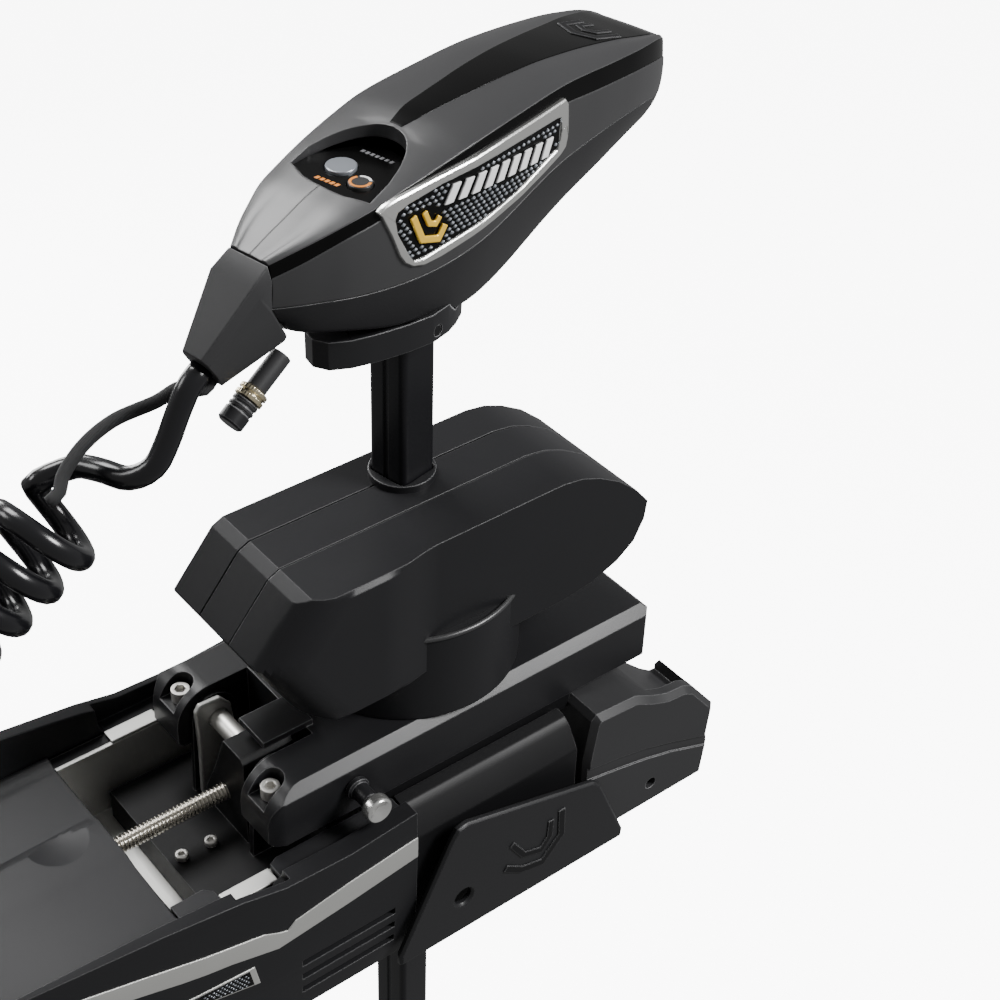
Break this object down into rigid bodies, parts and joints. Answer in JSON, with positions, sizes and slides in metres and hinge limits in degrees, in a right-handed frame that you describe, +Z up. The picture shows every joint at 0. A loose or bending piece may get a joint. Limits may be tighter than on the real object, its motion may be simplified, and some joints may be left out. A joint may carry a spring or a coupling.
{
  "type": "bow-mount trolling motor",
  "caption": "Bow-mount trolling motor with power lift: deck base, leadscrew carriage, tilting arm, drive pod, square shaft, control head on a curly cord, and propeller unit.",
  "frame": {"origin": "on the deck face of the base, on the centre line, 52 mm behind the tilt pivot and 200 mm behind the shaft axis", "axes": "+X forward over the bow along the base, +Z up from the deck, +Y to port; the arm is down and the shaft is vertical; the head and lower unit are steered 11 degrees to port"},
  "size_m": [0.8546, 0.262, 1.4811],
  "materials": {
    "black_plastic": "satin moulded plastic with a fine texture",
    "cover_plastic": "textured satin cover",
    "graphite_plastic": "graphite satin paint on moulded plastic",
    "bumper_rubber": "matte rubberised plastic",
    "aluminium": "extruded and brushed",
    "steel": "bright machined stainless steel",
    "polished_steel": "polished",
    "screw_steel": "rolled thread, lightly greased",
    "dark_metal": "black powder coat",
    "motor_paint": "satin black paint",
    "shaft_composite": "pultruded composite, satin gloss",
    "panel_gloss": "glossy panel",
    "button_silver": "silver button",
    "button_orange": "button with an orange ring",
    "nickel_brass": "plated ring",
    "prop_plastic": "glass-filled plastic",
    "cord_rubber": "glossy cord jacket",
    "braid_fabric": "braided sleeve"
  },
  "bodies": {
    "base": {"base_plate": "aluminium", "base_channel": "aluminium", "centre_cover": "cover_plastic", "far_side_cover": "cover_plastic", "near_side_cover": "cover_plastic", "far_rail_tab": "aluminium", "near_rail_tab": "aluminium", "far_ramp": "black_plastic", "near_ramp": "black_plastic", "far_side_plate": "black_plastic", "near_side_plate": "black_plastic", "far_bumper": "bumper_rubber", "near_bumper": "bumper_rubber", "front_bearing": "dark_metal", "rear_bearing": "dark_metal", "drive_motor": "dark_metal", "rear_cap": "cover_plastic", "cord_gland": "bumper_rubber", "cord_tail": "cord_rubber"},
    "leadscrew": {"leadscrew": "screw_steel"},
    "carriage": {"carriage": "dark_metal", "pivot_pin": "steel", "lever_bracket": "polished_steel", "sled_screw_rear": "steel", "sled_screw_front": "steel"},
    "arm": {"tilt_arm": "black_plastic", "near_ear_bolt": "steel", "far_ear_bolt": "steel", "steering_housing": "cover_plastic", "pod_far_cover": "cover_plastic", "pod_middle_cover": "cover_plastic", "pod_near_cover": "cover_plastic"},
    "release_knob": {"release_knob": "polished_steel"},
    "steering_hub": {"steering_hub": "black_plastic"},
    "shaft": {"shaft": "shaft_composite", "head_upper_cover": "graphite_plastic", "head_lower_housing": "graphite_plastic", "control_panel": "panel_gloss", "head_collar": "graphite_plastic", "collar_screw": "dark_metal", "head_boot": "bumper_rubber", "connector_body": "bumper_rubber", "connector_cap": "bumper_rubber", "lower_neck": "motor_paint", "motor_tube": "motor_paint", "nose_cone": "motor_paint", "rear_bell": "motor_paint", "skeg": "motor_paint", "cord_lead": "cord_rubber", "cord_coil": "cord_rubber", "cord_braid": "braid_fabric"},
    "power_button": {"power_button": "button_silver"},
    "mode_button": {"mode_button": "button_orange"},
    "connector_ring": {"connector_ring": "nickel_brass"},
    "propeller": {"propeller": "prop_plastic", "prop_nut": "steel"}
  },
  "joints": [
    {"name": "carriage_slide", "type": "slide", "parent": "base", "child": "carriage", "axis": [1, 0, 0], "range_m": [-0.075, 0], "deforming": ["cord_lead", "cord_coil", "cord_tail", "cord_braid"]},
    {"name": "leadscrew_spin", "type": "hinge", "parent": "base", "child": "leadscrew", "pos_m": [0, 0, 0.13], "axis": [1, 0, 0], "continuous": true},
    {"name": "arm_tilt", "type": "hinge", "parent": "carriage", "child": "arm", "pos_m": [0.052, 0, 0.17], "axis": [0, 1, 0], "range_deg": [-90, 0], "deforming": ["cord_lead", "cord_coil", "cord_tail", "cord_braid"]},
    {"name": "release_pull", "type": "slide", "parent": "arm", "child": "release_knob", "axis": [0, -1, 0], "range_m": [0, 0.01], "stiffness_N_per_m": 900},
    {"name": "steer", "type": "hinge", "parent": "arm", "child": "steering_hub", "pos_m": [0.2, 0, 0.3], "axis": [0, 0, 1], "continuous": true, "deforming": ["cord_lead", "cord_coil", "cord_tail", "cord_braid"]},
    {"name": "trim", "type": "slide", "parent": "steering_hub", "child": "shaft", "axis": [0, 0, 1], "range_m": [-0.1, 0.35], "deforming": ["cord_lead", "cord_coil", "cord_tail", "cord_braid"]},
    {"name": "power_press", "type": "slide", "parent": "shaft", "child": "power_button", "axis": [0, 0, 1], "range_m": [-0.0015, 0], "stiffness_N_per_m": 400},
    {"name": "mode_press", "type": "slide", "parent": "shaft", "child": "mode_button", "axis": [0, 0, 1], "range_m": [-0.0015, 0], "stiffness_N_per_m": 400},
    {"name": "connector_ring_turn", "type": "hinge", "parent": "shaft", "child": "connector_ring", "pos_m": [0.05299, -0.0408, 0.50776], "axis": [-0.8432, -0.1639, -0.512], "continuous": true},
    {"name": "propeller_spin", "type": "hinge", "parent": "shaft", "child": "propeller", "pos_m": [0.06257, -0.02671, -0.69], "axis": [0.9816, 0.1908, 0], "continuous": true}
  ],
  "couplings": [
    {"joint": "leadscrew_spin", "follows": "carriage_slide", "rad_per_m": 1963.5},
    {"joint": "arm_tilt", "follows": "carriage_slide", "rad_per_m": 20.944}
  ]
}
